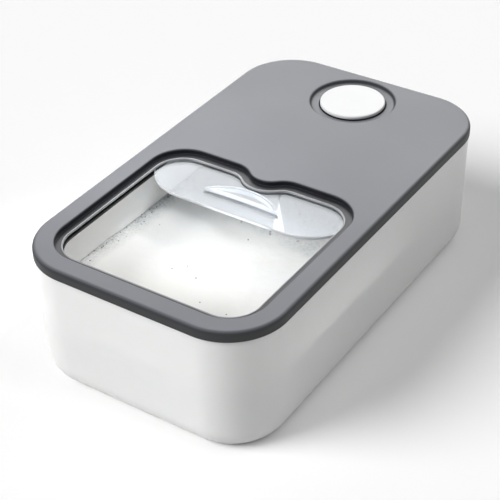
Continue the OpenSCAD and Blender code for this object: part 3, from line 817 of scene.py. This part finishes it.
# Grains: small rough balls over the powder, densest along the walls, sparser in the painted shadow under the
# door, and thin everywhere else
def grainTree():
    tree, give, out = newTree("scatter grains", [
        ("Density", "NodeSocketFloat"), ("Everywhere", "NodeSocketFloat"), ("Size", "NodeSocketFloat"),
        ("Seed", "NodeSocketInt"), ("Material", "NodeSocketMaterial")])
    coarse = addNode(tree, "GeometryNodeInputNamedAttribute", {"Name": "coarse"}, data_type="FLOAT")
    cube = addNode(tree, "ShaderNodeMath", {0: coarse.outputs["Attribute"], 1: 3.0}, operation="POWER")
    share = addNode(tree, "ShaderNodeMath", {0: cube.outputs[0], 1: give.outputs["Everywhere"]},
                    operation="ADD")
    amount = addNode(tree, "ShaderNodeMath", {0: share.outputs[0], 1: give.outputs["Density"]},
                     operation="MULTIPLY")
    points = addNode(tree, "GeometryNodeDistributePointsOnFaces", {
        "Mesh": give.outputs[0], "Density": amount.outputs[0], "Seed": give.outputs["Seed"]})
    ball = addNode(tree, "GeometryNodeMeshIcoSphere", {"Radius": give.outputs["Size"], "Subdivisions": 1})
    spread = addNode(tree, "FunctionNodeRandomValue", {
        0: (0.5, 0.5, 0.4), 1: (1.5, 1.3, 1.0), "Seed": give.outputs["Seed"]}, data_type="FLOAT_VECTOR")
    turn = addNode(tree, "FunctionNodeRandomValue", {0: (0, 0, 0), 1: (0.6, 0.6, 6.28)},
                   data_type="FLOAT_VECTOR")
    placed = addNode(tree, "GeometryNodeInstanceOnPoints", {
        "Points": points.outputs["Points"], "Instance": ball.outputs["Mesh"], "Rotation": turn.outputs[0],
        "Scale": spread.outputs[0]})
    endTree(tree, placed.outputs[0], give.outputs["Material"], out)
    return tree


def makeGrains(powderPiece):
    p = powderSizes
    tree = grainTree()
    upper = bmesh.new()  # only the powder's top takes grains
    upper.from_mesh(powderPiece.data)
    low = powderTop - p["topDepth"]
    under = [f for f in upper.faces if min(v.co.z for v in f.verts) < low]
    bmesh.ops.delete(upper, geom=under, context="FACES")
    mesh = bpy.data.meshes.new("powderTop")
    upper.to_mesh(mesh)
    upper.free()
    base = helperObject("powderTop", mesh)
    kinds = [("powderSpecks", speckGrain, p["specks"], p["speckShare"], p["speckSize"]),
             ("powderGrains", powderGrain, p["grains"], p["grainShare"], p["grainSize"])]
    for i, (name, material, density, everywhere, size) in enumerate(kinds):
        grains = runTree(base, tree, {"Density": density, "Everywhere": everywhere, "Size": size,
                                      "Seed": p["seed"] + i, "Material": material})
        piece = finishObject(grains, name, material, 60)
        settle(piece, "bin", "powder")
        print(name, "has", len(grains.polygons), "faces")
    dropObject(base)


powderPiece = makePowder()
print("powder made:", len(powderPiece.data.polygons), "faces")
makeGrains(powderPiece)


# Screws: one pan head screw with a cross recess, put on every screw's place by Geometry Nodes
def crossOutline(reach, half):
    arm = [(reach, -half), (reach, half), (half, half)]
    return [(x * c - y * s, x * s + y * c) for c, s in ((1, 0), (0, 1), (-1, 0), (0, -1)) for x, y in arm]


def makeScrews(nodeName):
    s = {"shank": 0.0011, "small": 0.0002, "dome": 0.0005, "recess": 0.0011, "slot": 0.00028, "deep": 0.0006,
         "neckShare": 0.7, "level": 0.0001, "firstTurn": 0.1}
    places = screwPlaces(nodeName)
    low, high = (c.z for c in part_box(nodeName))
    away = [(math.hypot(v.co.x - places[0][0], v.co.y - places[0][1]), v.co.z)
            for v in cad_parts[nodeName].data.vertices]
    near = [(r, z) for r, z in away if r < screwReach]  # the first screw's own points
    head = max(r for r, z in near)
    neck = min(z for r, z in near if r < head * s["neckShare"] and z > low + s["level"]) - low
    shank, small, dome = s["shank"], s["small"], s["dome"]
    bm = bmesh.new()
    section = [(shank - small, high - low), (shank, high - low - small), (shank, neck), (head - small, neck),
               (head, neck - small)]
    section += [(head - dome * math.sin(t), dome * (1 - math.sin(t)))
                for t in np.linspace(s["firstTurn"], math.pi / 2, 6)]
    tip, face = loft(bm, [(circleOutline((0, 0), r, 24), z) for r, z in section])
    bm.faces.new(tip)
    mouth, floor = loft(bm, [(crossOutline(s["recess"], s["slot"]), z) for z in (0, s["deep"])])
    bm.faces.new(floor)
    fillFlat(bm, face, mouth)
    one = finishMesh(bm, nodeName + "One", steel, 40)
    tree, give, out = newTree("place " + nodeName, [("Screw", "NodeSocketObject"),
                                                    ("Material", "NodeSocketMaterial")])
    shape = addNode(tree, "GeometryNodeObjectInfo", {"Object": give.outputs["Screw"]})
    placed = addNode(tree, "GeometryNodeInstanceOnPoints", {"Points": give.outputs[0],
                                                            "Instance": shape.outputs["Geometry"]})
    endTree(tree, placed.outputs[0], give.outputs["Material"], out)
    spots = bpy.data.meshes.new("spots")
    spots.from_pydata([(x, y, low) for x, y in places], [], [])
    base = helperObject("spots", spots)
    mesh = runTree(base, tree, {"Screw": one, "Material": steel})
    dropObject(base, one)
    name = nodeName.split("_")[0] + "ScrewSet"
    settle(finishObject(mesh, name, steel, 40), "lid", "screw_steel", nodeName)


makeScrews("track_screws")
makeScrews("base_screws")
print("screws made")


# CAD nodes that stay get their finish
finishes = {"lid_seal": sealSilicone, "door_track": trackPlastic, "door_stops": blackRubber,
            "button_stem": buttonPlastic, "button_spring": steel, "button_base": lidPlastic,
            "valve_disc": sealSilicone, "stem_clip": steel}
for nodeName, finish in finishes.items():
    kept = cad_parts[nodeName]
    kept.data.materials.clear()
    kept.data.materials.append(finish)
print("kept nodes finished")


# Floor, light and camera
studio = {"floorSize": 12.0, "floorDrop": 0.0002, "floorColour": (0.995, 0.995, 0.995),
          "floorBounce": (0.60, 0.60, 0.60), "ambient": 0.22, "aimHeight": 0.05}
spot = {"distance": 1.2, "blend": 0.9, "softness": 0.08}


def seenDirectly(tree):  # 1 for what the camera sees, also in gloss and through clear plastic
    path = addNode(tree, "ShaderNodeLightPath")
    seen = addNode(tree, "ShaderNodeMath", {
        0: path.outputs["Is Camera Ray"], 1: path.outputs["Is Glossy Ray"]}, operation="ADD")
    return addNode(tree, "ShaderNodeMath", {0: seen.outputs[0], 1: path.outputs["Is Transmission Ray"]},
                   operation="ADD", use_clamp=True).outputs[0]


def makeFloor():
    bm = bmesh.new()
    half = studio["floorSize"] / 2
    corners = [(-half, -half), (half, -half), (half, half), (-half, half)]
    bm.faces.new([bm.verts.new((x, y, -studio["floorDrop"])) for x, y in corners])
    mesh = bpy.data.meshes.new("floor")
    bm.to_mesh(mesh)
    bm.free()
    material, shader = newMaterial("paleFloor", {"Roughness": 0.9, "Specular IOR Level": 0.0})
    tree = material.node_tree
    colour = blendColours(tree, seenDirectly(tree), studio["floorBounce"], studio["floorColour"])
    tree.links.new(colour, shader.inputs["Base Color"])
    mesh.materials.append(material)
    floor = helperObject("floor", mesh)


def makeWorld():
    world = bpy.data.worlds.new("studio")
    bpy.context.scene.world = world
    world.use_nodes = True
    tree = world.node_tree
    tree.nodes.clear()
    strength = addNode(tree, "ShaderNodeMapRange", {"Value": seenDirectly(tree), "To Min": studio["ambient"]})
    light = addNode(tree, "ShaderNodeBackground", {"Color": (1, 1, 1, 1), "Strength": strength.outputs[0]})
    out = addNode(tree, "ShaderNodeOutputWorld")
    tree.links.new(light.outputs[0], out.inputs["Surface"])


def placeLamp(name, light, azimuth, elevation, distance):  # azimuth 0 is in front, 90 is on the right
    lamp = helperObject(name, light)
    a, e = math.radians(azimuth), math.radians(elevation)
    away = Vector((math.sin(a) * math.cos(e), -math.cos(a) * math.cos(e), math.sin(e)))
    lamp.location = Vector((0, 0, studio["aimHeight"])) + away * distance
    lamp.rotation_euler = away.to_track_quat("Z", "Y").to_euler()
    lamp.visible_camera = False
    return lamp


def makeSky(name, azimuth, elevation, share, spread=45):  # share of a white surface's full light, facing it
    light = bpy.data.lights.new(name, "SUN")
    light.angle = math.radians(spread)
    light.energy = share * math.pi
    placeLamp(name, light, azimuth, elevation, 2).visible_glossy = False


def makeSpot(name, target, azimuth, elevation, reach, share):  # a soft round pool of light on the powder
    light = bpy.data.lights.new(name, "SPOT")
    distance = spot["distance"]
    light.energy = share * 4 * math.pi ** 2 * distance ** 2
    light.spot_size = 2 * math.atan(reach / distance)
    light.spot_blend = spot["blend"]
    light.shadow_soft_size = spot["softness"]
    lamp = placeLamp(name, light, azimuth, elevation, distance)
    lamp.location += Vector((*target, powderTop - studio["aimHeight"]))
    lamp.visible_glossy = False


def makePanel(name, azimuth, elevation, distance, size, radiance):  # seen only in gloss
    light = bpy.data.lights.new(name, "AREA")
    light.shape = "RECTANGLE"
    light.size, light.size_y = size
    light.energy = radiance * size[0] * size[1] * math.pi  # its radiance is its power per area and pi
    placeLamp(name, light, azimuth, elevation, distance).visible_diffuse = False


viewpoint = {"azimuth": 34.282, "elevation": 35.861, "roll": -1.519, "distance": 1.0104, "lens": 99.16,
             "aim": (0.007967, -0.032394, 0.060)}


def makeCamera():
    a, e, r = (math.radians(viewpoint[k]) for k in ("azimuth", "elevation", "roll"))
    back = Vector((math.sin(a) * math.cos(e), -math.cos(a) * math.cos(e), math.sin(e)))
    right = Vector((math.cos(a), math.sin(a), 0))
    up = back.cross(right)
    tiltedRight = right * math.cos(r) + up * math.sin(r)
    tiltedUp = up * math.cos(r) - right * math.sin(r)
    data = bpy.data.cameras.new("camera")
    data.lens = viewpoint["lens"]
    data.sensor_width = 36
    camera = helperObject("camera", data)
    place = Vector(viewpoint["aim"]) + back * viewpoint["distance"]
    turn = Matrix((tiltedRight, tiltedUp, back)).transposed().to_4x4()
    camera.matrix_world = Matrix.Translation(place) @ turn
    bpy.context.scene.camera = camera


makeFloor()
makeWorld()
makeSky("keyLight", -44, 38, 0.91, 34)
makeSky("backLight", 130, 62, 0.18)
makeSky("sideLight", 130, 8, 0.09)
makeSpot("leftSpot", (-0.098, -0.065), 110, 66, 0.082, 1.10)
makeSpot("rearSpot", (-0.040, 0.012), 30, 60, 0.058, 0.62)
makePanel("sheenPanel", 228, 37, 2.0, (0.90, 1.3), 4.5)
makePanel("wallPanel", 189.3, 38, 2.0, (1.35, 1.5), 4.0)
makePanel("lowPanel", 211, 19, 2.0, (0.80, 0.5), 2.8)
makeCamera()
bpy.context.scene.view_settings.view_transform = "Standard"
print("studio ready")

print("done")
